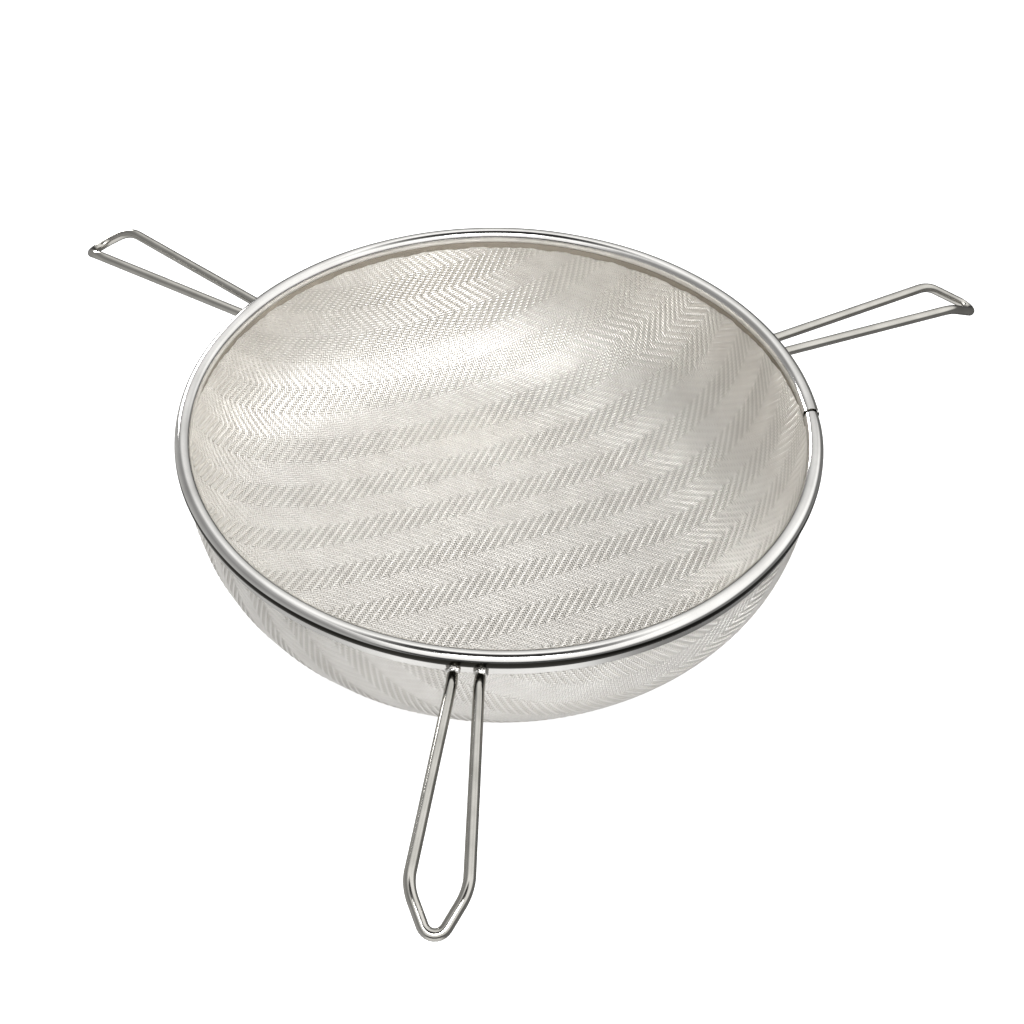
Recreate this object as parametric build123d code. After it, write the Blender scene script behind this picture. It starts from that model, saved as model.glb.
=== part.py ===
"""Double sieve strainer for honey: two nested mesh bowls clamped in one rolled rim with three wire handles.

Millimetres, +Z up. The origin is the centre of the bowl's flat bottom, on the rim's axis.
The front handle points along -Y, and the other two stand 120 degrees either side of it.
"""
import os
from math import cos, degrees, radians, sin, sqrt

from build123d import *

# ---- Rim: a steel strip rolled into a bead round a hoop, with two skirts that grip the sieves ----
rim_outer_radius = 120.0
rim_height = 70.0            # bead centre above the plane that the bowl rests on
bead_radius = 3.1
strip_thickness = 0.5
skirt_drop = 2.4             # how far the skirts reach below the bead
seam_gap = 0.4               # butt joint between the strip's two ends
seam_azimuth = 7.0           # degrees from +X
hoop_clearance = 0.4         # between the strip's inner face and the hoop that it is rolled round

# ---- Sieves ----
inner_sieve_thickness = 0.9
outer_sieve_thickness = 0.9
sieve_gap = 0.15             # between the two nested bowls
grip_clearance = 0.05        # between a sieve and the skirt that holds it
edge_clearance = 0.15        # between the sieves' top edges and the hoop

# The bowl's outer profile: flat disc, shallow dome, knuckle, wall, then an upright collar.
dome_radius = 330.0
dome_sweep = 8.0             # degrees of arc
wall_radius = 95.0
wall_start = 78.0            # degrees; the wall arc runs from here to upright
collar_length = 3.2

# ---- Handles: one wire each, two stems that spread outward to a V-shaped tip bent down ----
handle_wire_radius = 1.9
handle_azimuths = {"front": 270.0, "right": 30.0, "left": 150.0}
handle_reach = 81.5          # from the skirt to the corners where the stems end
handle_root_spacing = 9.0    # between the two stem centre lines at the rim
root_length = 6.0            # straight length at the rim before the stems spread
root_bend_radius = 12.0
corner_bend_radius = 13.5
root_clearance = 0.05        # between a wire and the rim parts that it stops against
weld_radius = 2.9

# The three tips are bent by hand and differ. The point of the V is where its two sides would meet.
handle_corner_spacing = {"front": 18.0, "right": 16.8, "left": 20.6}
tip_length = {"front": 16.0, "right": 25.6, "left": 17.2}        # level, from the corners to the point
tip_drop = {"front": 8.0, "right": 16.2, "left": 12.4}           # how far the point lies below the stems
tip_bend_radius = {"front": 3.9, "right": 3.8, "left": 7.0}

# ---- Worked out from the sizes above ----
bead_centre_radius = rim_outer_radius - bead_radius
hoop_radius = bead_radius - strip_thickness - hoop_clearance
sieve_stack = inner_sieve_thickness + sieve_gap + outer_sieve_thickness
slot_width = sieve_stack + 2 * grip_clearance
skirt_outer_radius = bead_centre_radius + slot_width / 2 + strip_thickness
skirt_bottom = rim_height - bead_radius - skirt_drop
collar_outer_radius = bead_centre_radius + sieve_stack / 2
sieve_top = rim_height - hoop_radius - edge_clearance
stem_height = rim_height - bead_radius - root_clearance - handle_wire_radius

# The knuckle's radius is whatever makes the wall turn upright just where the collar starts.
dome_rise = dome_radius * (1 - cos(radians(dome_sweep)))
wall_rise = wall_radius * cos(radians(wall_start))
knuckle_rise = sieve_top - collar_length - dome_rise - wall_rise
knuckle_radius = knuckle_rise / (cos(radians(dome_sweep)) - cos(radians(wall_start)))


def arc_point(centre, radius, angle):
    """Point on a profile arc, with the angle in degrees up from straight down."""
    return (centre[0] + radius * sin(radians(angle)), centre[1] - radius * cos(radians(angle)))


def bowl_profile(inset):
    """Points of the bowl's profile, moved inward by inset: arcs as (start, middle, end) triples."""
    reach = (dome_radius - knuckle_radius) * sin(radians(dome_sweep))
    reach += (knuckle_radius - wall_radius) * sin(radians(wall_start)) + wall_radius
    dome_centre = (collar_outer_radius - reach, dome_radius)
    knuckle_centre = arc_point(dome_centre, dome_radius - knuckle_radius, dome_sweep)
    wall_centre = arc_point(knuckle_centre, knuckle_radius - wall_radius, wall_start)
    sections = [
        (dome_centre, dome_radius - inset, 0.0, dome_sweep),
        (knuckle_centre, knuckle_radius - inset, dome_sweep, wall_start),
        (wall_centre, wall_radius - inset, wall_start, 90.0),
    ]
    return [
        tuple(arc_point(centre, radius, angle) for angle in (start, (start + end) / 2, end))
        for centre, radius, start, end in sections
    ]


def sieve(outer_inset, inner_inset):
    """A bowl of revolution between two insets of the same profile."""
    outer_arcs = bowl_profile(outer_inset)
    inner_arcs = bowl_profile(inner_inset)
    with BuildSketch(Plane.XZ) as section:
        with BuildLine():
            Line((0, outer_inset), outer_arcs[0][0])
            for arc in outer_arcs:
                ThreePointArc(*arc)
            outer_edge = (outer_arcs[-1][-1][0], sieve_top)
            inner_edge = (inner_arcs[-1][-1][0], sieve_top)
            Polyline(outer_arcs[-1][-1], outer_edge, inner_edge, inner_arcs[-1][-1])
            for arc in inner_arcs:
                ThreePointArc(*arc)
            Polyline(inner_arcs[0][0], (0, inner_inset), (0, outer_inset))
        make_face()
    return revolve(section.sketch, Axis.Z)


def rim_strip():
    """The rolled strip: bead and skirts in one section, turned round the axis and open at its seam."""
    bead_centre = Pos(bead_centre_radius, rim_height)
    skirt_height = rim_height - skirt_bottom
    skirts = bead_centre * Rectangle(
        slot_width + 2 * strip_thickness, skirt_height, align=(Align.CENTER, Align.MAX)
    )
    slot = bead_centre * Rectangle(
        slot_width, 2 * skirt_height, align=(Align.CENTER, Align.MAX)
    )
    section = bead_centre * Circle(bead_radius) + skirts
    section = section - bead_centre * Circle(bead_radius - strip_thickness) - slot
    seam_angle = degrees(seam_gap / bead_centre_radius)
    turned = revolve(Plane.XZ * section, Axis.Z, 360 - seam_angle)
    return Rot(0, 0, seam_azimuth + seam_angle / 2) * turned


def rim_hoop():
    """The closed wire hoop inside the bead."""
    return Pos(0, 0, rim_height) * Torus(bead_centre_radius, hoop_radius)


def rounded_path(points, radii):
    """A path of straight runs joined by tangent arcs, one radius for each inner point."""
    edges = []
    start = points[0]
    for before, corner, after, radius in zip(points, points[1:], points[2:], radii):
        back = (before - corner).normalized()
        ahead = (after - corner).normalized()
        half_angle_cosine = (back + ahead).length / 2
        half_angle_sine = sqrt(1 - half_angle_cosine**2)
        setback = radius * half_angle_cosine / half_angle_sine
        arc_start = corner + back * setback
        arc_end = corner + ahead * setback
        to_middle = radius / half_angle_sine - radius
        arc_middle = corner + (back + ahead).normalized() * to_middle
        edges.append(Edge.make_line(start, arc_start))
        edges.append(Edge.make_three_point_arc(arc_start, arc_middle, arc_end))
        start = arc_end
    edges.append(Edge.make_line(start, points[-1]))
    return Wire(edges)


def handle_points(name):
    """Corner points of one handle's wire, with the handle along +X."""
    root = skirt_outer_radius + root_clearance
    corner = skirt_outer_radius + handle_reach
    side = [
        Vector(root, handle_root_spacing / 2, stem_height),
        Vector(root + root_length, handle_root_spacing / 2, stem_height),
        Vector(corner, handle_corner_spacing[name] / 2, stem_height),
    ]
    tip = Vector(corner + tip_length[name], 0, stem_height - tip_drop[name])
    return side + [tip] + [Vector(p.X, -p.Y, p.Z) for p in reversed(side)]


def handle(name):
    """One bent wire, along +X."""
    side_radii = [root_bend_radius, corner_bend_radius]
    radii = side_radii + [tip_bend_radius[name]] + side_radii[::-1]
    path = rounded_path(handle_points(name), radii)
    wire_section = Plane(origin=path @ 0, z_dir=path % 0) * Circle(handle_wire_radius)
    return sweep(wire_section, path)


def handle_welds(wire):
    """The two weld nuggets that join the wire's ends to the skirt and the underside of the bead."""
    rim_core = Cylinder(skirt_outer_radius, 4 * rim_height)
    bead = Pos(0, 0, rim_height) * Torus(bead_centre_radius, bead_radius)
    welds = []
    for side in (1, -1):
        centre = Pos(skirt_outer_radius, side * handle_root_spacing / 2, stem_height)
        welds.append(centre * Sphere(weld_radius) - rim_core - bead - wire)
    return Compound(welds)


parts = {
    "outer_sieve": sieve(0.0, outer_sieve_thickness),
    "inner_sieve": sieve(outer_sieve_thickness + sieve_gap, sieve_stack),
    "rim_strip": rim_strip(),
    "rim_hoop": rim_hoop(),
}
for name, azimuth in handle_azimuths.items():
    wire = handle(name)
    parts[f"handle_{name}"] = Rot(0, 0, azimuth) * wire
    parts[f"handle_{name}_welds"] = Rot(0, 0, azimuth) * handle_welds(wire)

os.makedirs("parts", exist_ok=True)
for name, shape in parts.items():
    export_step(shape, f"parts/{name}.step")
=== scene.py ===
"""Double sieve strainer: woven wire bowls, a rolled rim and three wire handles round the CAD frame."""
import math

import bmesh
import bpy
import numpy as np
from mathutils import Matrix, Vector


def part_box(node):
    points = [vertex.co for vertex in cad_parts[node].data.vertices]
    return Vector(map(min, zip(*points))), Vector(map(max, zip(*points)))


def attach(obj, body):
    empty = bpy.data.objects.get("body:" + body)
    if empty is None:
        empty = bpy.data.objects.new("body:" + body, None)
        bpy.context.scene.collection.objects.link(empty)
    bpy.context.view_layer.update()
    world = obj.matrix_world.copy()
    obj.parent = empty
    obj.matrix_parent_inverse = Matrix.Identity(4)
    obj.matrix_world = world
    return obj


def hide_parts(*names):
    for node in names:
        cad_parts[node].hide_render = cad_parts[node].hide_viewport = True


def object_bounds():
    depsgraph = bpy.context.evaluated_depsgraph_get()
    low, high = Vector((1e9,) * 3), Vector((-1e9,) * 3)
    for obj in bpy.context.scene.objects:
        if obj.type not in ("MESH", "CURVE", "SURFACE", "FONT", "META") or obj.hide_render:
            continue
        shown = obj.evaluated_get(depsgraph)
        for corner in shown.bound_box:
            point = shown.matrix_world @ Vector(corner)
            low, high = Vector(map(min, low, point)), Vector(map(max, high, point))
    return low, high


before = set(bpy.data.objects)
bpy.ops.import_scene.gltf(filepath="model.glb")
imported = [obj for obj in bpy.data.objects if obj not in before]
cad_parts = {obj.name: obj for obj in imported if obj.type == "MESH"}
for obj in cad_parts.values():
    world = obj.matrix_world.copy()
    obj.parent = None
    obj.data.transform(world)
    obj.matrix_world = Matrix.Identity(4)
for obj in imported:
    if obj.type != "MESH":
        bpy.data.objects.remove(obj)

MM = 0.001
CAD_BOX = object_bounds()

# ---- Sizes of the CAD model, read from the frame ----
STRIP_LOW, STRIP_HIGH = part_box("rim_strip")
HOOP_LOW, HOOP_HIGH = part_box("rim_hoop")
OUTER_LOW, OUTER_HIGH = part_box("outer_sieve")
INNER_LOW, INNER_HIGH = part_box("inner_sieve")
RIM_RADIUS = STRIP_HIGH.x
BEAD_HEIGHT = (HOOP_LOW.z + HOOP_HIGH.z) / 2
BEAD_RADIUS = STRIP_HIGH.z - BEAD_HEIGHT
BEAD_CENTRE = RIM_RADIUS - BEAD_RADIUS
COLLAR_RADIUS = OUTER_HIGH.x
SIEVE_TOP = OUTER_HIGH.z
SKIRT_BOTTOM = STRIP_LOW.z

# ---- The bowl's outer profile, as the CAD has it: disc, dome, knuckle, wall and collar ----
DOME_RADIUS = 330 * MM
DOME_SWEEP = math.radians(8)
WALL_RADIUS = 95 * MM
WALL_START = math.radians(78)
COLLAR_LENGTH = 3.2 * MM
DOME_RISE = DOME_RADIUS * (1 - math.cos(DOME_SWEEP))
WALL_RISE = WALL_RADIUS * math.cos(WALL_START)
KNUCKLE_COSINES = math.cos(DOME_SWEEP) - math.cos(WALL_START)
KNUCKLE_RADIUS = (SIEVE_TOP - COLLAR_LENGTH - DOME_RISE - WALL_RISE) / KNUCKLE_COSINES

# ---- The weave: a 2/2 twill that turns back every few wires, so its ridges make a herringbone ----
# The weft runs with the bands, and the warp across them.
WIRE_PITCH = 1.0 * MM
WIRE_HALF_WIDTH = 0.50 * MM
WIRE_HALF_HEIGHT = 0.10 * MM
WEFT_LIFT = 0.22 * MM        # the weft floats over nearly straight warp wires
WARP_LIFT = 0.04 * MM
SMOOTH_BAND_LIFT = 0.35      # share of the lift in every second band, which lies flatter
BAND_WIRES = 11
WIRE_SIDES = 5
FEWEST_CROSSINGS = 6         # shorter wires at the cloth's edge are left out
WEAVE_AZIMUTH = math.radians(26.5)
SIEVE_INSETS = {"outer_sieve": 0.55 * MM, "inner_sieve": 1.6 * MM}
PIECES_PER_FAMILY = 4

# ---- Rim strip and handles, as the CAD has them, apart from a seam that is 0.4 mm wider ----
STRIP_THICKNESS = 0.5 * MM
SLOT_HALF_WIDTH = 1.025 * MM
SEAM_AZIMUTH = math.radians(7)
SEAM_GAP = 0.8 * MM
HANDLE_RADIUS = 1.9 * MM
HANDLE_AZIMUTHS = {"front": math.radians(270), "right": math.radians(30), "left": math.radians(150)}
HANDLE_REACH = 81.5 * MM
ROOT_SPACING = 9 * MM
ROOT_LENGTH = 6 * MM
ROOT_BEND = 12 * MM
CORNER_BEND = 13.5 * MM
CLEARANCE = 0.05 * MM
CORNER_SPACING = {"front": 18.0 * MM, "right": 16.8 * MM, "left": 20.6 * MM}
TIP_LENGTH = {"front": 16.0 * MM, "right": 25.6 * MM, "left": 17.2 * MM}
TIP_DROP = {"front": 8.0 * MM, "right": 16.2 * MM, "left": 12.4 * MM}
TIP_BEND = {"front": 3.9 * MM, "right": 3.8 * MM, "left": 7.0 * MM}
SKIRT_RADIUS = BEAD_CENTRE + SLOT_HALF_WIDTH + STRIP_THICKNESS
STEM_HEIGHT = BEAD_HEIGHT - BEAD_RADIUS - CLEARANCE - HANDLE_RADIUS

# ---- Fineness of the visible rim and handles, and the unevenness that the CAD leaves out ----
RIM_STEPS = 900
BEND_ANGLE = math.radians(14)   # how far round the bead its bend into a skirt reaches
BEND_DROP = 0.35 * MM           # how far under the bead's arc the bend starts
SEAM_SWELL, SWELL_REACH = 0.03, 0.02          # share of the section, and radians past the seam
SEAM_THINNING, THINNING_REACH = 0.15, 0.07    # share of the section, and radians before the seam
# Waves of the strip and of its inner skirt's cut edge: (size, waves round the rim, phase)
OUTWARD_WAVES = ((0.05 * MM, 5, 1), (0.03 * MM, 13, 0))
UPWARD_WAVES = ((0.05 * MM, 7, 2), (0.03 * MM, 17, 1))
CUT_WAVES = ((0.22 * MM, 37, 0), (0.16 * MM, 61, 2), (0.12 * MM, 143, 1))
CUT_SHORTER = 0.15 * MM
CUT_TOP = -2.8 * MM             # height from the bead's centre under which the cut's waves begin
CUT_FADE = 2.7 * MM             # they reach their full size this far below it
HANDLE_SIDES = 28
HANDLE_END_ROUNDING = 0.18   # how much thinner a wire gets at its very end, as a share of its radius
BAND_EDGE = 0.25 * MM        # how softly a band of painted shade on the strip starts and ends
NUGGET_RADII = (1.35 * MM, 2.45 * MM, 1.55 * MM)   # outward, round the rim and up
NUGGET_OFFSET = (0.55 * MM, 0.75 * MM)             # outward from the skirt and up from the stem's axis


# ---- Materials ----


def new_material(name):
    """A node material and its Principled shader."""
    material = bpy.data.materials.new(name)
    material.use_nodes = True
    return material, material.node_tree, material.node_tree.nodes["Principled BSDF"]


def add_node(tree, kind, **settings):
    """A new node with its properties set, and its sockets for names that are input sockets."""
    node = tree.nodes.new(kind)
    for key, value in settings.items():
        if key in node.inputs:
            node.inputs[key].default_value = value
        else:
            setattr(node, key, value)
    return node


def noise(tree, scale, detail):
    """Object-space noise."""
    coordinates = add_node(tree, "ShaderNodeTexCoord")
    texture = add_node(tree, "ShaderNodeTexNoise", Scale=scale, Detail=detail)
    tree.links.new(coordinates.outputs["Object"], texture.inputs["Vector"])
    return texture.outputs["Fac"]


def ramp(tree, source, stops):
    """A colour ramp over source; stops are (position, colour)."""
    node = add_node(tree, "ShaderNodeValToRGB")
    node.color_ramp.elements[0].position, node.color_ramp.elements[0].color = stops[0]
    node.color_ramp.elements[1].position, node.color_ramp.elements[1].color = stops[-1]
    for position, colour in stops[1:-1]:
        node.color_ramp.elements.new(position).color = colour
    tree.links.new(source, node.inputs["Fac"])
    return node.outputs["Color"]


def remap(tree, source, before, after=(0.0, 1.0), interpolation="LINEAR"):
    """source, mapped from the range before to the range after and kept inside it."""
    node = add_node(tree, "ShaderNodeMapRange", interpolation_type=interpolation)
    node.inputs["From Min"].default_value, node.inputs["From Max"].default_value = before
    node.inputs["To Min"].default_value, node.inputs["To Max"].default_value = after
    tree.links.new(source, node.inputs["Value"])
    return node.outputs["Result"]


def mix(tree, share, first, second, blend_type="MIX"):
    """A colour mixed from first and second. Each of the three is a socket or a plain value."""
    node = add_node(tree, "ShaderNodeMix", data_type="RGBA", blend_type=blend_type)
    for index, value in ((0, share), (6, first), (7, second)):
        if isinstance(value, bpy.types.NodeSocket):
            tree.links.new(value, node.inputs[index])
        else:
            node.inputs[index].default_value = value
    return node.outputs[2]


def steel(name, dark, light, roughness, grain_scale, edge=0.8):
    """Steel whose tone and roughness change slightly over its surface. edge tints it at grazing angles."""
    material, tree, shader = new_material(name)
    shader.inputs["Metallic"].default_value = 1.0
    shader.inputs["Specular Tint"].default_value = (edge, edge, edge * 0.98, 1)
    tone = ramp(tree, noise(tree, grain_scale, 4), [(0.3, (*dark, 1)), (0.7, (*light, 1))])
    tree.links.new(tone, shader.inputs["Base Color"])
    polish = remap(tree, noise(tree, grain_scale * 3, 3), (0.0, 1.0), roughness)
    tree.links.new(polish, shader.inputs["Roughness"])
    return material


def paint_ridge_shade(material):
    """Painted shade: darkens the cloth between its ridges, by the tone stored on the wires."""
    tree = material.node_tree
    shader = tree.nodes["Principled BSDF"]
    tone = shader.inputs["Base Color"].links[0].from_socket
    ridge_shade = add_node(tree, "ShaderNodeAttribute", attribute_name="ridge_shade")
    # painted shade: full tone where the stored level is 1, down to about two thirds of it where it is 0
    shade = ramp(tree, ridge_shade.outputs["Fac"], [
        (0.0, (0.68, 0.67, 0.66, 1)),
        (0.35, (0.84, 0.84, 0.83, 1)),
        (0.55, (0.92, 0.92, 0.92, 1)),
        (1.0, (1, 1, 1, 1)),
    ])
    tree.links.new(mix(tree, 1.0, tone, shade, "MULTIPLY"), shader.inputs["Base Color"])


def paint_shade_band(material, radii, heights, colour):
    """Paints shade: blends the tone into colour between two heights, more and more from the first radius to
    the second.
    """
    tree = material.node_tree
    shader = tree.nodes["Principled BSDF"]
    tone = shader.inputs["Base Color"].links[0].from_socket
    coordinates = add_node(tree, "ShaderNodeTexCoord")
    axes = add_node(tree, "ShaderNodeSeparateXYZ")
    tree.links.new(coordinates.outputs["Object"], axes.inputs["Vector"])
    flat = add_node(tree, "ShaderNodeCombineXYZ")
    tree.links.new(axes.outputs["X"], flat.inputs["X"])
    tree.links.new(axes.outputs["Y"], flat.inputs["Y"])
    radius = add_node(tree, "ShaderNodeVectorMath", operation="LENGTH")
    tree.links.new(flat.outputs["Vector"], radius.inputs[0])
    across = remap(tree, radius.outputs["Value"], radii)
    level = remap(tree, axes.outputs["Z"], heights)
    soft = BAND_EDGE / (heights[1] - heights[0])
    line = ramp(tree, level, [
        (0.0, (0, 0, 0, 1)),
        (soft, (1, 1, 1, 1)),
        (1 - soft, (1, 1, 1, 1)),
        (1.0, (0, 0, 0, 1)),
    ])
    share = add_node(tree, "ShaderNodeMath", operation="MULTIPLY")
    tree.links.new(line, share.inputs[0])
    tree.links.new(across, share.inputs[1])
    # painted shade: the band's colour takes the place of the tone
    tree.links.new(mix(tree, share.outputs["Value"], tone, colour), shader.inputs["Base Color"])


# ---- Pieces ----


def place(name, mesh, body="root"):
    """Puts a finished mesh in the scene on a CAD body."""
    piece = bpy.data.objects.new(name, mesh)
    bpy.context.scene.collection.objects.link(piece)
    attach(piece, body)
    return piece


def smooth_mesh(name, points, faces, material, body="root"):
    """A smooth-shaded mesh object from points and faces, riding on body."""
    mesh = bpy.data.meshes.new(name)
    mesh.from_pydata(points, [], faces)
    mesh.shade_smooth()
    mesh.materials.append(material)
    return place(name, mesh, body)


def crease_sharp(piece, degrees):
    """Keeps edges sharper than the given angle sharp under smooth shading."""
    piece.data.set_sharp_from_angle(angle=math.radians(degrees))


# ---- The bowl as a mapping: distance from the centre along the cloth to radius, height and normal ----


def arc_point(centre, radius, angle):
    """The point of an arc at an angle from straight down."""
    return np.array([centre[0] + radius * np.sin(angle), centre[1] - radius * np.cos(angle)])


def profile_table(inset, samples=160):
    """Rows of (length along the profile, radius, height, inward normal's r, its z) from centre to top."""
    reach = (DOME_RADIUS - KNUCKLE_RADIUS) * math.sin(DOME_SWEEP)
    reach += (KNUCKLE_RADIUS - WALL_RADIUS) * math.sin(WALL_START) + WALL_RADIUS
    dome_centre = np.array([COLLAR_RADIUS - reach, DOME_RADIUS])
    knuckle_centre = arc_point(dome_centre, DOME_RADIUS - KNUCKLE_RADIUS, DOME_SWEEP)
    wall_centre = arc_point(knuckle_centre, KNUCKLE_RADIUS - WALL_RADIUS, WALL_START)
    sections = [
        (dome_centre, DOME_RADIUS, 0.0, DOME_SWEEP),
        (knuckle_centre, KNUCKLE_RADIUS, DOME_SWEEP, WALL_START),
        (wall_centre, WALL_RADIUS, WALL_START, math.pi / 2),
    ]
    rows = [(0.0, inset, 0.0, 1.0)]
    for centre, radius, start, end in sections:
        for angle in np.linspace(start, end, samples):
            r, z = arc_point(centre, radius - inset, angle)
            rows.append((r, z, -math.sin(angle), math.cos(angle)))
    rows.append((COLLAR_RADIUS - inset, SIEVE_TOP - WIRE_HALF_WIDTH, -1.0, 0.0))
    rows = np.array(rows)
    steps = np.hypot(np.diff(rows[:, 0]), np.diff(rows[:, 1]))
    lengths = np.concatenate([[0.0], np.cumsum(steps)])
    keep = np.concatenate([[True], steps > 1e-9])
    return np.column_stack([lengths, rows])[keep]


def on_bowl(table, u, v, lift):
    """Points and unit normals where the flat cloth's (u, v) lands on the bowl, raised by lift."""
    length = np.hypot(u, v)
    azimuth = np.arctan2(v, u) + WEAVE_AZIMUTH
    r, z, normal_r, normal_z = (np.interp(length, table[:, 0], table[:, k]) for k in (1, 2, 3, 4))
    normal = np.column_stack([normal_r * np.cos(azimuth), normal_r * np.sin(azimuth), normal_z])
    normal /= np.linalg.norm(normal, axis=1)[:, None]
    points = np.column_stack([r * np.cos(azimuth), r * np.sin(azimuth), z])
    return points + normal * lift[:, None], normal


def weave_height(along, across):
    """A weft wire's lift at a crossing, from -1 to 1: up where it lies on top, else down."""
    phase = np.mod(across, 2 * BAND_WIRES)
    turned = np.where(phase < BAND_WIRES, phase, 2 * BAND_WIRES - 1 - phase)
    lift = np.where(phase < BAND_WIRES, 1.0, SMOOTH_BAND_LIFT)
    return np.where(np.mod(along - turned, 4) < 2, lift, -lift)


def wire_family(table, with_bands):
    """(points, normals, heights in the weave) of every wire that runs one way over the bowl."""
    limit = table[-1, 0]
    count = int(limit / WIRE_PITCH)
    numbers = np.arange(-count, count + 1)
    wires = []
    for number in numbers:
        offset = number * WIRE_PITCH
        half_length = math.sqrt(max(limit**2 - offset**2, 0.0))
        steps = np.arange(-int(half_length / WIRE_PITCH), int(half_length / WIRE_PITCH) + 1)
        if len(steps) < FEWEST_CROSSINGS:
            continue
        if with_bands:
            u, v = steps * WIRE_PITCH, np.full(len(steps), offset)
            height = weave_height(steps, np.full(len(steps), number))
            lift = WEFT_LIFT * height
        else:
            u, v = np.full(len(steps), offset), steps * WIRE_PITCH
            height = weave_height(np.full(len(steps), number), steps)
            lift = -WARP_LIFT * height
        wires.append((*on_bowl(table, u, v, lift), height))
    return wires


def tube(points, normals, half_width, half_height, sides):
    """Vertices and side quads of a tube round points. half_height is measured along the normals."""
    ahead = np.gradient(points, axis=0)
    ahead /= np.linalg.norm(ahead, axis=1)[:, None]
    sideways = np.cross(ahead, normals)
    sideways /= np.linalg.norm(sideways, axis=1)[:, None]
    upward = np.cross(sideways, ahead)
    angles = np.arange(sides) * 2 * math.pi / sides
    across = half_width * np.cos(angles)[None, :, None] * sideways[:, None, :]
    lift = half_height * np.sin(angles)[None, :, None] * upward[:, None, :]
    vertices = (points[:, None, :] + across + lift).reshape(-1, 3)
    here = np.arange(len(points) - 1)[:, None] * sides + np.arange(sides)[None, :]
    beside = np.arange(len(points) - 1)[:, None] * sides + (np.arange(sides)[None, :] + 1) % sides
    quads = np.stack([here, here + sides, beside + sides, beside], axis=-1).reshape(-1, 4)
    return vertices, quads


def ridge_shade_tone(height, with_bands):
    """Painted shade, 0 to 1 for every point of a tube: 1 where a weft float stands proud, lower on the warp
    beside it.
    """
    side = np.sign(np.round(np.sin(np.arange(WIRE_SIDES) * 2 * math.pi / WIRE_SIDES), 6))
    if with_bands:
        return (0.5 + 0.5 * height[:, None] * side[None, :]).ravel()
    return np.repeat(0.65 - 0.3 * np.abs(height), WIRE_SIDES)


def wires_mesh(name, wires, with_bands, material):
    """One mesh of many wires, built straight into its arrays because it has so many faces."""
    vertices, quads, caps, ridge_shade_tones, start = [], [], [], [], 0
    for points, normals, height in wires:
        # the painted shade level of every point of this wire
        ridge_shade_tones.append(ridge_shade_tone(height, with_bands))
        more, faces = tube(points, normals, WIRE_HALF_WIDTH, WIRE_HALF_HEIGHT, WIRE_SIDES)
        vertices.append(more)
        quads.append(faces + start)
        caps.append(start + np.arange(WIRE_SIDES))
        caps.append(start + len(more) - 1 - np.arange(WIRE_SIDES))
        start += len(more)
    vertices, quads, caps = np.concatenate(vertices), np.concatenate(quads), np.array(caps)
    mesh = bpy.data.meshes.new(name)
    mesh.vertices.add(len(vertices))
    mesh.vertices.foreach_set("co", vertices.astype(np.float32).ravel())
    loops = np.concatenate([quads.ravel(), caps.ravel()])
    mesh.loops.add(len(loops))
    mesh.loops.foreach_set("vertex_index", loops.astype(np.int32))
    sizes = np.concatenate([np.full(len(quads), 4), np.full(len(caps), WIRE_SIDES)])
    starts = np.concatenate([[0], np.cumsum(sizes)[:-1]])
    mesh.polygons.add(len(sizes))
    mesh.polygons.foreach_set("loop_start", starts.astype(np.int32))
    mesh.update(calc_edges=True)
    lay_out_faces(mesh, len(quads), len(caps))
    # the painted ridge shade, read by the wire material
    ridges = mesh.attributes.new("ridge_shade", "FLOAT", "POINT")
    ridges.data.foreach_set("value", np.concatenate(ridge_shade_tones).astype(np.float32))
    mesh.validate()
    mesh.shade_smooth()
    mesh.materials.append(material)
    return mesh


def lay_out_faces(mesh, quad_count, cap_count):
    """A UV map that gives every face its own cell of a grid: first the quads, then the wire ends."""
    side = math.ceil(math.sqrt(quad_count + cap_count))
    cells = np.arange(quad_count + cap_count)
    origins = np.column_stack([cells % side, cells // side])
    square = np.array([(0, 0), (1, 0), (1, 1), (0, 1)])
    angles = np.arange(WIRE_SIDES) * 2 * math.pi / WIRE_SIDES
    polygon = 0.5 + 0.4 * np.column_stack([np.cos(angles), np.sin(angles)])
    on_quads = origins[:quad_count, None, :] + square[None, :, :]
    on_caps = origins[quad_count:, None, :] + polygon[None, :, :]
    uv = np.concatenate([on_quads.reshape(-1, 2), on_caps.reshape(-1, 2)]) / side
    layer = mesh.uv_layers.new(name="OFBake")
    layer.data.foreach_set("uv", uv.astype(np.float32).ravel())


def build_sieve(node, material):
    """Both wire families of one sieve, each in a few pieces of about equal size."""
    table = profile_table(SIEVE_INSETS[node])
    for label, with_bands in (("weft", True), ("warp", False)):
        wires = wire_family(table, with_bands)
        sizes = np.cumsum([len(points) for points, _, _ in wires])
        share = np.minimum((sizes - 1) * PIECES_PER_FAMILY // sizes[-1], PIECES_PER_FAMILY - 1)
        for part in range(PIECES_PER_FAMILY):
            chosen = [wire for wire, owner in zip(wires, share) if owner == part]
            name = f"{node}_{label}_{part + 1}"
            piece = place(name, wires_mesh(name, chosen, with_bands, material))
            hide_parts(node)


# ---- Rim strip: a rolled bead with two skirts, open at the seam ----


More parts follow.
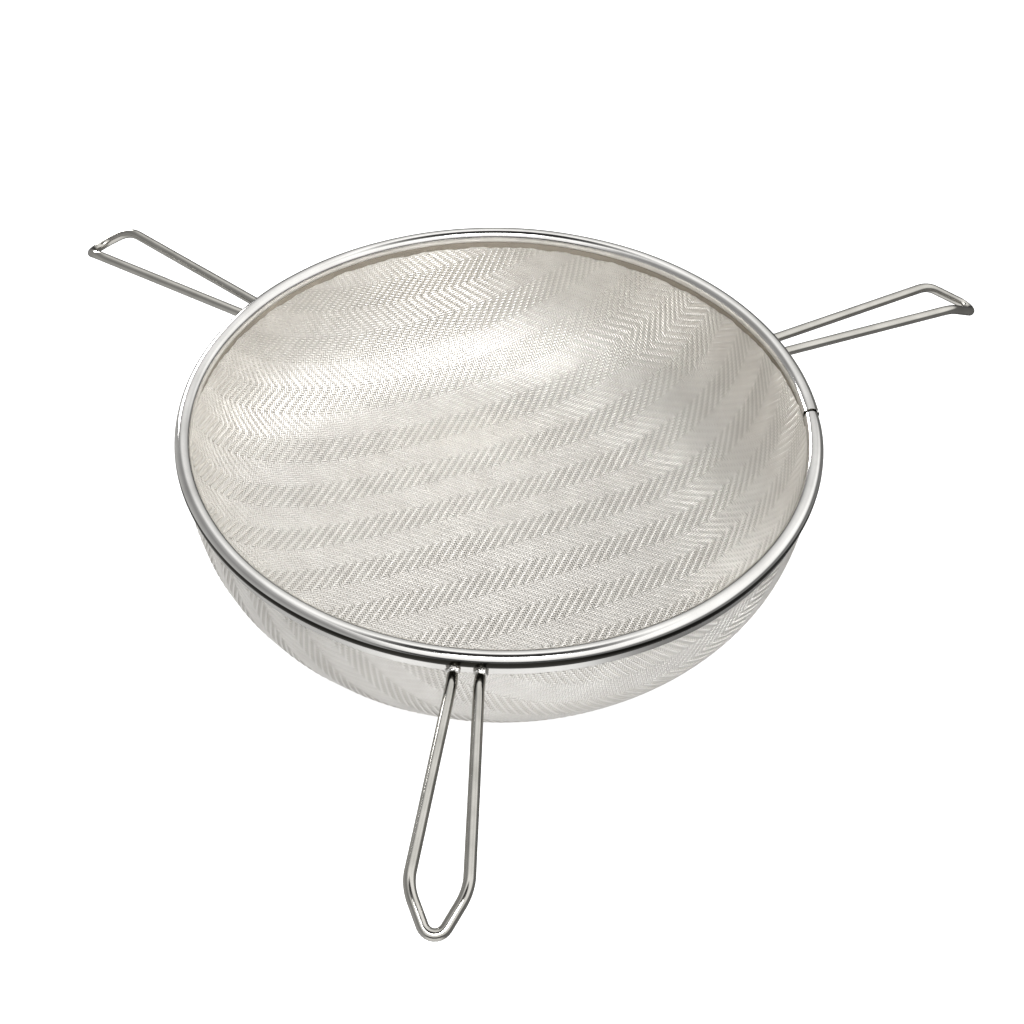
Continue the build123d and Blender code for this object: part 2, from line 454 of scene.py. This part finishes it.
def bead_contour(radius, skirt_offset, bottom, steps=30):
    """(outward, upward) points from the inner skirt's bottom round the bead to the outer skirt's bottom."""
    start = math.asin(skirt_offset / radius) + BEND_ANGLE
    angles = np.linspace(start, 2 * math.pi - start, steps)
    arc = [(-radius * math.sin(angle), -radius * math.cos(angle)) for angle in angles]
    neck = arc[0][1] - BEND_DROP
    corner = (-skirt_offset, arc[0][1] + 0.1 * MM)
    fillet = []
    for t in np.linspace(0, 1, 5)[:-1]:
        blend = [(1 - t) ** 2 * a + 2 * t * (1 - t) * b + t**2 * c
                 for a, b, c in zip((-skirt_offset, neck), corner, arc[0])]
        fillet.append(tuple(blend))
    skirt = [(-skirt_offset, z) for z in np.linspace(bottom, neck, 5)[:-1]]
    inner_side = skirt + fillet
    return np.array(inner_side + arc + [(-x, z) for x, z in reversed(inner_side)])


def sum_waves(waves, azimuth):
    """The sum of some sine waves round the rim at one azimuth."""
    return sum(size * math.sin(count * azimuth + phase) for size, count, phase in waves)


def build_rim(material):
    """The strip as one swept sheet with thickness, a little wavy, its inner skirt's edge cut unevenly."""
    bottom = SKIRT_BOTTOM - BEAD_HEIGHT
    outside = bead_contour(BEAD_RADIUS, SLOT_HALF_WIDTH + STRIP_THICKNESS, bottom)
    inside = bead_contour(BEAD_RADIUS - STRIP_THICKNESS, SLOT_HALF_WIDTH, bottom)
    count = len(outside)
    half_seam = SEAM_GAP / BEAD_CENTRE / 2
    azimuths = np.linspace(SEAM_AZIMUTH + half_seam, SEAM_AZIMUTH + 2 * math.pi - half_seam, RIM_STEPS)
    points = []
    for azimuth in azimuths:
        past_seam, before_seam = azimuth - azimuths[0], azimuths[-1] - azimuth
        # the strip swells a little past the seam and gets thinner towards it from the other side
        step = 1 + SEAM_SWELL * math.exp(-past_seam / SWELL_REACH)
        step -= SEAM_THINNING * math.exp(-before_seam / THINNING_REACH)
        wave, rise = sum_waves(OUTWARD_WAVES, azimuth), sum_waves(UPWARD_WAVES, azimuth)
        ragged = sum_waves(CUT_WAVES, azimuth) + CUT_SHORTER
        for contour in (outside, inside):
            section = contour * step
            # only the lower part of the inner skirt is cut unevenly
            share = np.clip((CUT_TOP - section[:, 1]) / CUT_FADE, 0, 1) * (section[:, 0] < 0)
            radius = BEAD_CENTRE + section[:, 0] + wave
            height = BEAD_HEIGHT + section[:, 1] + rise + share * ragged
            x, y = radius * math.cos(azimuth), radius * math.sin(azimuth)
            points.append(np.column_stack([x, y, height]))
    faces = []
    ring = 2 * count
    loop = list(range(count)) + list(range(2 * count - 1, count - 1, -1))
    for row in range(len(azimuths) - 1):
        for here, there in zip(loop, loop[1:] + loop[:1]):
            a, b = row * ring + here, row * ring + there
            faces.append((a, b, b + ring, a + ring))
    last = (len(azimuths) - 1) * ring
    for k in range(count - 1):
        faces.append((k, count + k, count + k + 1, k + 1))
        faces.append((last + k, last + k + 1, last + count + k + 1, last + count + k))
    piece = smooth_mesh("rim_strip_rolled", np.concatenate(points), faces, material)
    crease_sharp(piece, 40)
    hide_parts("rim_strip")


# ---- Handles: one bent wire each ----


def rounded_path(corners, radii, step=0.8 * MM):
    """Evenly fine points along straight runs joined by tangent arcs, one radius for each inner corner."""
    path = [corners[0]]
    for before, corner, after, radius in zip(corners, corners[1:], corners[2:], radii):
        back, ahead = (before - corner).normalized(), (after - corner).normalized()
        half = back.angle(ahead) / 2
        start, end = corner + back * radius / math.tan(half), corner + ahead * radius / math.tan(half)
        centre = corner + (back + ahead).normalized() * radius / math.sin(half)
        run = start - path[-1]
        parts = max(int(run.length / (3 * step)), 1)
        origin = path[-1]
        path += [origin + run * k / parts for k in range(1, parts + 1)]
        turns = max(int(radius * (math.pi - 2 * half) / step), 6)
        for k in range(1, turns + 1):
            spoke = (start - centre).normalized().slerp((end - centre).normalized(), k / turns)
            path.append(centre + spoke * radius)
    run = corners[-1] - path[-1]
    origin, parts = path[-1], max(int(run.length / (3 * step)), 1)
    return path + [origin + run * k / parts for k in range(1, parts + 1)]


def build_handle(name, material):
    """One handle's wire, swept round its path with a slightly uneven section."""
    root, corner = SKIRT_RADIUS + CLEARANCE, SKIRT_RADIUS + HANDLE_REACH
    side = [
        Vector((root, ROOT_SPACING / 2, STEM_HEIGHT)),
        Vector((root + ROOT_LENGTH, ROOT_SPACING / 2, STEM_HEIGHT)),
        Vector((corner, CORNER_SPACING[name] / 2, STEM_HEIGHT)),
    ]
    tip = Vector((corner + TIP_LENGTH[name], 0, STEM_HEIGHT - TIP_DROP[name]))
    corners = side + [tip] + [Vector((p.x, -p.y, p.z)) for p in reversed(side)]
    path = rounded_path(corners, [ROOT_BEND, CORNER_BEND, TIP_BEND[name], CORNER_BEND, ROOT_BEND])
    points = np.array([tuple(p) for p in path])
    ahead = np.gradient(points, axis=0)
    ahead /= np.linalg.norm(ahead, axis=1)[:, None]
    sideways = np.cross(ahead, [0.0, 0.0, 1.0])
    sideways /= np.linalg.norm(sideways, axis=1)[:, None]
    upward = np.cross(sideways, ahead)
    lengths = np.concatenate([[0], np.cumsum(np.linalg.norm(np.diff(points, axis=0), axis=1))])
    sides = HANDLE_SIDES
    vertices = []
    for k, point in enumerate(points):
        from_end = min(lengths[k], lengths[-1] - lengths[k])
        taper = 1 - HANDLE_END_ROUNDING * math.exp(-from_end / (0.5 * MM))
        for angle in np.arange(sides) * 2 * math.pi / sides:
            # a section slightly out of round, whose size also changes along the wire
            twist = 0.006 * math.sin(3 * angle + lengths[k] / (9 * MM))
            dent = 1 + twist + 0.004 * math.sin(lengths[k] / (2.3 * MM))
            spoke = math.cos(angle) * sideways[k] + math.sin(angle) * upward[k]
            vertices.append(point + spoke * HANDLE_RADIUS * taper * dent)
    faces = []
    for k in range(len(points) - 1):
        for j in range(sides):
            a, b = k * sides + j, k * sides + (j + 1) % sides
            faces.append((a, a + sides, b + sides, b))
    faces.append(tuple(range(sides)))
    faces.append(tuple(reversed(range((len(points) - 1) * sides, len(points) * sides))))
    turn = Matrix.Rotation(HANDLE_AZIMUTHS[name], 3, "Z")
    turned = [turn @ Vector(v) for v in vertices]
    piece = smooth_mesh(f"handle_{name}_wire", turned, faces, material)
    crease_sharp(piece, 50)
    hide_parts(f"handle_{name}")


def build_welds(name, material):
    """Two lumpy nuggets where a handle's wire ends meet the skirt and the bead."""
    vertices, faces = [], []
    rings, around = 20, 32
    turn = Matrix.Rotation(HANDLE_AZIMUTHS[name], 3, "Z")
    for side in (1, -1):
        start = len(vertices)
        outward, upward = NUGGET_OFFSET
        centre = Vector((SKIRT_RADIUS + outward, side * ROOT_SPACING / 2, STEM_HEIGHT + upward))
        for ring in range(rings + 1):
            polar = math.pi * ring / rings
            for k in range(around):
                turn_angle = 2 * math.pi * k / around
                lump = 1 + 0.07 * math.sin(3 * turn_angle + 5 * polar + side)
                lump += 0.05 * math.sin(7 * turn_angle - 4 * polar)
                offset = Vector((
                    NUGGET_RADII[0] * math.sin(polar) * math.cos(turn_angle),
                    NUGGET_RADII[1] * math.sin(polar) * math.sin(turn_angle),
                    NUGGET_RADII[2] * math.cos(polar),
                ))
                vertices.append(turn @ (centre + offset * lump))
        for ring in range(rings):
            for k in range(around):
                a, b = start + ring * around + k, start + ring * around + (k + 1) % around
                faces.append((a, a + around, b + around, b))
    piece = smooth_mesh(f"handle_{name}_weld_nuggets", vertices, faces, material)
    merge_poles(piece)
    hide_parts(f"handle_{name}_welds")


def merge_poles(piece):
    """Joins the coincident points at each nugget's poles."""
    work = bmesh.new()
    work.from_mesh(piece.data)
    bmesh.ops.remove_doubles(work, verts=work.verts, dist=0.001 * MM)
    work.to_mesh(piece.data)
    work.free()


# ---- Studio ----
FLOOR_HALF = 6.0
FLOOR_GLOW = 0.75
WORLD_STRENGTH = 1.57
SEEN_GREY = 0.69             # the camera sees this grey where nothing stands in front of the world


def build_floor():
    """A white light table under the bowl. Reflections see the studio's walls instead of it."""
    material, tree, shader = new_material("floor_white")
    tone = ramp(tree, noise(tree, 3, 2), [(0.3, (0.62, 0.62, 0.62, 1)), (0.7, (0.64, 0.64, 0.64, 1))])
    tree.links.new(tone, shader.inputs["Base Color"])
    shader.inputs["Roughness"].default_value = 0.9
    shader.inputs["Emission Color"].default_value = (1, 1, 1, 1)
    shader.inputs["Emission Strength"].default_value = FLOOR_GLOW
    corners = [(-FLOOR_HALF, -FLOOR_HALF, 0), (FLOOR_HALF, -FLOOR_HALF, 0),
               (FLOOR_HALF, FLOOR_HALF, 0), (-FLOOR_HALF, FLOOR_HALF, 0)]
    mesh = bpy.data.meshes.new("floor")
    mesh.from_pydata([Vector(corner) for corner in corners], [], [(0, 1, 2, 3)])
    mesh.materials.append(material)
    floor = bpy.data.objects.new("floor", mesh)
    floor.location.z = CAD_BOX[0].z - 0.2 * MM
    floor.visible_glossy = False
    bpy.context.scene.collection.objects.link(floor)


def grey(stops):
    """Ramp stops from (height of the direction, brightness)."""
    return [((height + 1) / 2, (level, level, level, 1)) for height, level in stops]


def build_world():
    """A bright front, a dimmer back and left, and dark bands that draw lines on the metal."""
    world = bpy.data.worlds.new("studio")
    bpy.context.scene.world = world
    world.use_nodes = True
    tree = world.node_tree
    background = tree.nodes["Background"]
    coordinates = add_node(tree, "ShaderNodeTexCoord")
    axes = add_node(tree, "ShaderNodeSeparateXYZ")
    tree.links.new(coordinates.outputs["Generated"], axes.inputs["Vector"])
    height = remap(tree, axes.outputs["Z"], (-1.0, 1.0))
    front = ramp(tree, height, grey([
        (-1.0, 0.75), (-0.35, 0.85), (-0.15, 0.45), (-0.05, 0.05), (0.22, 0.05), (0.36, 0.80), (0.86, 1.0),
        (0.905, 0.02), (1.0, 0.02),
    ]))
    back = ramp(tree, height, grey([
        (-1.0, 0.15), (-0.1, 0.08), (0.12, 0.08), (0.34, 0.42), (0.66, 0.68), (0.93, 1.0), (0.98, 0.02),
        (1.0, 0.02),
    ]))
    towards_back = remap(tree, axes.outputs["Y"], (-0.35, 0.35), interpolation="SMOOTHSTEP")
    sky = mix(tree, towards_back, front, back)
    right = ramp(tree, height, grey([(-1.0, 0.20), (0.15, 0.15), (0.4, 0.90), (1.0, 1.0)]))
    left = ramp(tree, height, grey([(-1.0, 0.45), (-0.3, 0.40), (0.5, 0.22), (0.8, 0.35), (1.0, 0.8)]))
    for side, colour in ((1, right), (-1, left)):
        reach = (0.3 * side, 0.65 * side)
        towards_side = remap(tree, axes.outputs["X"], reach, interpolation="SMOOTHSTEP")
        sky = mix(tree, towards_side, sky, colour)
    path = add_node(tree, "ShaderNodeLightPath")
    seen = mix(tree, path.outputs["Is Camera Ray"], sky, (SEEN_GREY, SEEN_GREY, SEEN_GREY, 1))
    tree.links.new(seen, background.inputs["Color"])
    background.inputs["Strength"].default_value = WORLD_STRENGTH


def softbox(name, location, target, width, height, power):
    """A rectangular area light that faces target."""
    light = bpy.data.lights.new(name, "AREA")
    light.shape, light.size, light.size_y, light.energy = "RECTANGLE", width, height, power
    lamp = bpy.data.objects.new(name, light)
    lamp.location = location
    lamp.rotation_euler = (Vector(target) - Vector(location)).to_track_quat("-Z", "Y").to_euler()
    bpy.context.scene.collection.objects.link(lamp)


# ---- Camera ----
VIEW_AZIMUTH = math.radians(4.23)
VIEW_ELEVATION = math.radians(41.64)
VIEW_ROLL = math.radians(1.28)
VIEW_DISTANCE = 650 * MM
FOCAL_RATIO = 1.702
VIEW_SHIFT = (0.0121, -0.0912)


def build_camera():
    """A camera that looks down at the rim's centre from the front."""
    data = bpy.data.cameras.new("view")
    camera = bpy.data.objects.new("view", data)
    bpy.context.scene.collection.objects.link(camera)
    back = Vector((
        math.sin(VIEW_AZIMUTH) * math.cos(VIEW_ELEVATION),
        -math.cos(VIEW_AZIMUTH) * math.cos(VIEW_ELEVATION),
        math.sin(VIEW_ELEVATION),
    ))
    level = Vector((math.cos(VIEW_AZIMUTH), math.sin(VIEW_AZIMUTH), 0))
    upright = back.cross(level)
    right = level * math.cos(VIEW_ROLL) + upright * math.sin(VIEW_ROLL)
    up = back.cross(right)
    rotation = Matrix((right, up, back)).transposed().to_4x4()
    camera.matrix_world = Matrix.Translation(Vector((0, 0, BEAD_HEIGHT)) + back * VIEW_DISTANCE) @ rotation
    data.lens = FOCAL_RATIO * data.sensor_width
    data.shift_x, data.shift_y = VIEW_SHIFT
    data.clip_start, data.clip_end = 0.01, 100
    bpy.context.scene.camera = camera


# ---- The part ----
mesh_steel = steel(
    "mesh_steel",
    dark=(0.86, 0.835, 0.80),
    light=(0.95, 0.93, 0.895),
    roughness=(0.36, 0.46),
    grain_scale=120,
    edge=1.0,
)
# painted shade between the cloth's ridges
paint_ridge_shade(mesh_steel)
rim_polish = steel(
    "rim_polish",
    dark=(0.60, 0.59, 0.57),
    light=(0.72, 0.71, 0.69),
    roughness=(0.06, 0.14),
    grain_scale=60,
)
drawn_wire = steel(
    "drawn_wire",
    dark=(0.40, 0.39, 0.36),
    light=(0.52, 0.505, 0.47),
    roughness=(0.10, 0.18),
    grain_scale=90,
    edge=0.6,
)
paint_shade_band(   # painted shade: the near-black line under the bead, outside
    rim_polish,
    radii=(BEAD_CENTRE, BEAD_CENTRE + 1.2 * MM),
    heights=(BEAD_HEIGHT - 2.9 * MM, BEAD_HEIGHT + 1.3 * MM),
    colour=(0.02, 0.019, 0.016, 1),
)
paint_shade_band(   # painted shade: the darker inner skirt under the bead
    rim_polish,
    radii=(BEAD_CENTRE, BEAD_CENTRE - 1.2 * MM),
    heights=(SKIRT_BOTTOM - 1.0 * MM, BEAD_HEIGHT - 2.2 * MM),
    colour=(0.30, 0.275, 0.235, 1),
)
weld_metal = steel(
    "weld_metal",
    dark=(0.62, 0.60, 0.57),
    light=(0.80, 0.79, 0.77),
    roughness=(0.15, 0.40),
    grain_scale=900,
)

build_sieve("outer_sieve", mesh_steel)
build_sieve("inner_sieve", mesh_steel)

build_rim(rim_polish)
for handle in HANDLE_AZIMUTHS:
    build_handle(handle, drawn_wire)
    build_welds(handle, weld_metal)
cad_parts["rim_hoop"].data.materials.clear()
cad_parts["rim_hoop"].data.materials.append(drawn_wire)

# ---- The scene round it ----
build_floor()
build_world()
softbox("key_softbox", (0.15, -0.95, 1.5), target=(0, 0, 0), width=0.7, height=0.5, power=17)
softbox("side_softbox", (-0.85, 0.97, 0.35), target=(0.05, 0, 0.04), width=0.5, height=0.35, power=10)
build_camera()
bpy.context.scene.view_settings.view_transform = "Standard"
